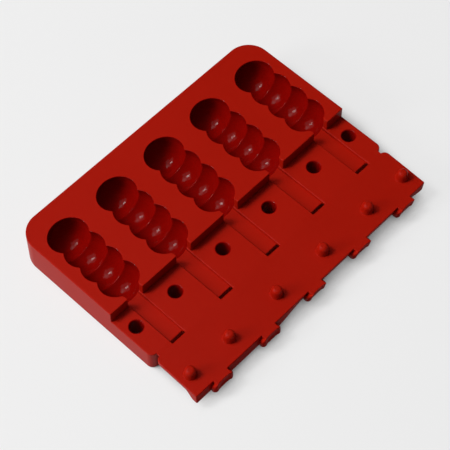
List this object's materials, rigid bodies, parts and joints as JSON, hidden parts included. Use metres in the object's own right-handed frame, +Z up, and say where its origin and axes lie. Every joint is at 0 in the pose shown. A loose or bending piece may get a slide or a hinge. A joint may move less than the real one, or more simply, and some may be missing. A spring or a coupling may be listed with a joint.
{
  "type": "silicone candy mould",
  "caption": "Rectangular silicone candy mould: a thick tray of beaded lolly cavities with stick channels, and a hinged flap lid with round pegs.",
  "frame": {"origin": "centre of the tray's flat underside, on the surface that the mould stands on", "axes": "+X along the hinge, to the right seen from the lid's side; +Y from the lid to the tray's back; +Z up, out of the cavities"},
  "size_m": [0.2, 0.1522, 0.0244],
  "materials": {
    "red_silicone": "satin moulded silicone, glossier inside the cavities"
  },
  "bodies": {
    "tray": {"tray": "red_silicone", "hinge_web": "red_silicone"},
    "lid": {"lid": "red_silicone"}
  },
  "joints": [
    {"name": "lid_hinge", "type": "hinge", "parent": "tray", "child": "lid", "pos_m": [0, -0.0578, 0.01585], "axis": [-1, 0, 0], "range_deg": [-8, 183], "stiffness_Nm_per_rad": 0.11, "springref_deg": 3, "deforming": ["hinge_web"]}
  ]
}
